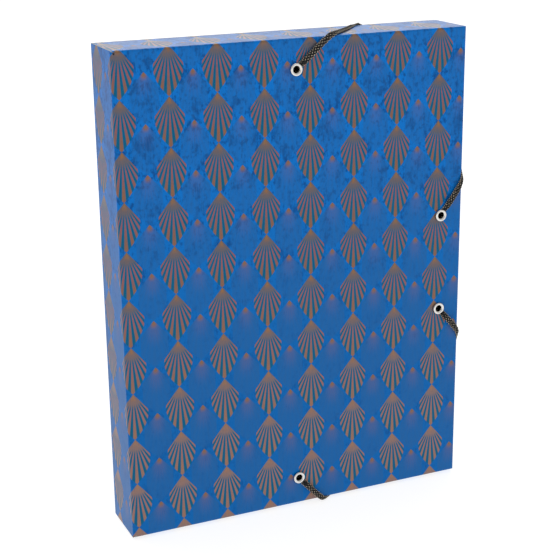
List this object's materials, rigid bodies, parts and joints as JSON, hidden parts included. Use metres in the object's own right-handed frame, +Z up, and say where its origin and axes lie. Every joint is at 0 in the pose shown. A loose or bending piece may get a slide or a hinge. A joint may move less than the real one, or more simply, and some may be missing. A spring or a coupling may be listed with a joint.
{
  "type": "archival box",
  "caption": "Upright card filing box: a hinged spine and lid over a shallow tray, held shut by round elastics across its corners.",
  "frame": {"origin": "on the surface that the box stands on, below the middle of the box; the tail wall is 2.2 mm above it, held up by the elastic that passes under it and is pressed flat", "axes": "+Z up from tail to head, -Y out of the base panel with the eyelets, +Y out of the lid, -X out of the spine, +X out of the fore-edge"},
  "size_m": [0.256, 0.05, 0.3362],
  "materials": {
    "printed_card": "glossy film over a printed blue ground with a copper ray-fan pattern outside, plain grey card inside",
    "nickel": "nickel-plated steel, polished",
    "elastic": "braided round elastic, black with light flecks"
  },
  "bodies": {
    "tray": {"base_panel": "printed_card", "head_wall": "printed_card", "tail_wall": "printed_card", "fore_edge_wall": "printed_card", "head_corner_tab": "printed_card", "tail_corner_tab": "printed_card", "head_eyelet": "nickel", "upper_fore_eyelet": "nickel", "lower_fore_eyelet": "nickel", "tail_eyelet": "nickel"},
    "spine": {"spine_panel": "printed_card"},
    "lid": {"lid_panel": "printed_card"},
    "head_elastic": {"elastic_head": "elastic"},
    "tail_elastic": {"elastic_tail": "elastic"}
  },
  "joints": [
    {"name": "spine_fold", "type": "hinge", "parent": "tray", "child": "spine", "pos_m": [-0.1255, -0.0205, 0.1672], "axis": [0, 0, 1], "range_deg": [0, 90]},
    {"name": "lid_fold", "type": "hinge", "parent": "spine", "child": "lid", "pos_m": [-0.1255, 0.0205, 0.1672], "axis": [0, 0, 1], "range_deg": [0, 180]},
    {"name": "head_elastic_release", "type": "hinge", "parent": "tray", "child": "head_elastic", "pos_m": [-0.002, -0.02145, 0.3122], "axis": [0.7087, 0, -0.7055], "range_deg": [0, 40], "deforming": ["elastic_head"]},
    {"name": "tail_elastic_release", "type": "hinge", "parent": "tray", "child": "tail_elastic", "pos_m": [0.109, -0.02145, 0.1327], "axis": [-0.7087, 0, -0.7055], "range_deg": [0, 40], "deforming": ["elastic_tail"]}
  ],
  "couplings": [
    {"joint": "head_elastic_release", "follows": "lid_fold", "ratio": 0.22222},
    {"joint": "tail_elastic_release", "follows": "lid_fold", "ratio": 0.22222}
  ]
}
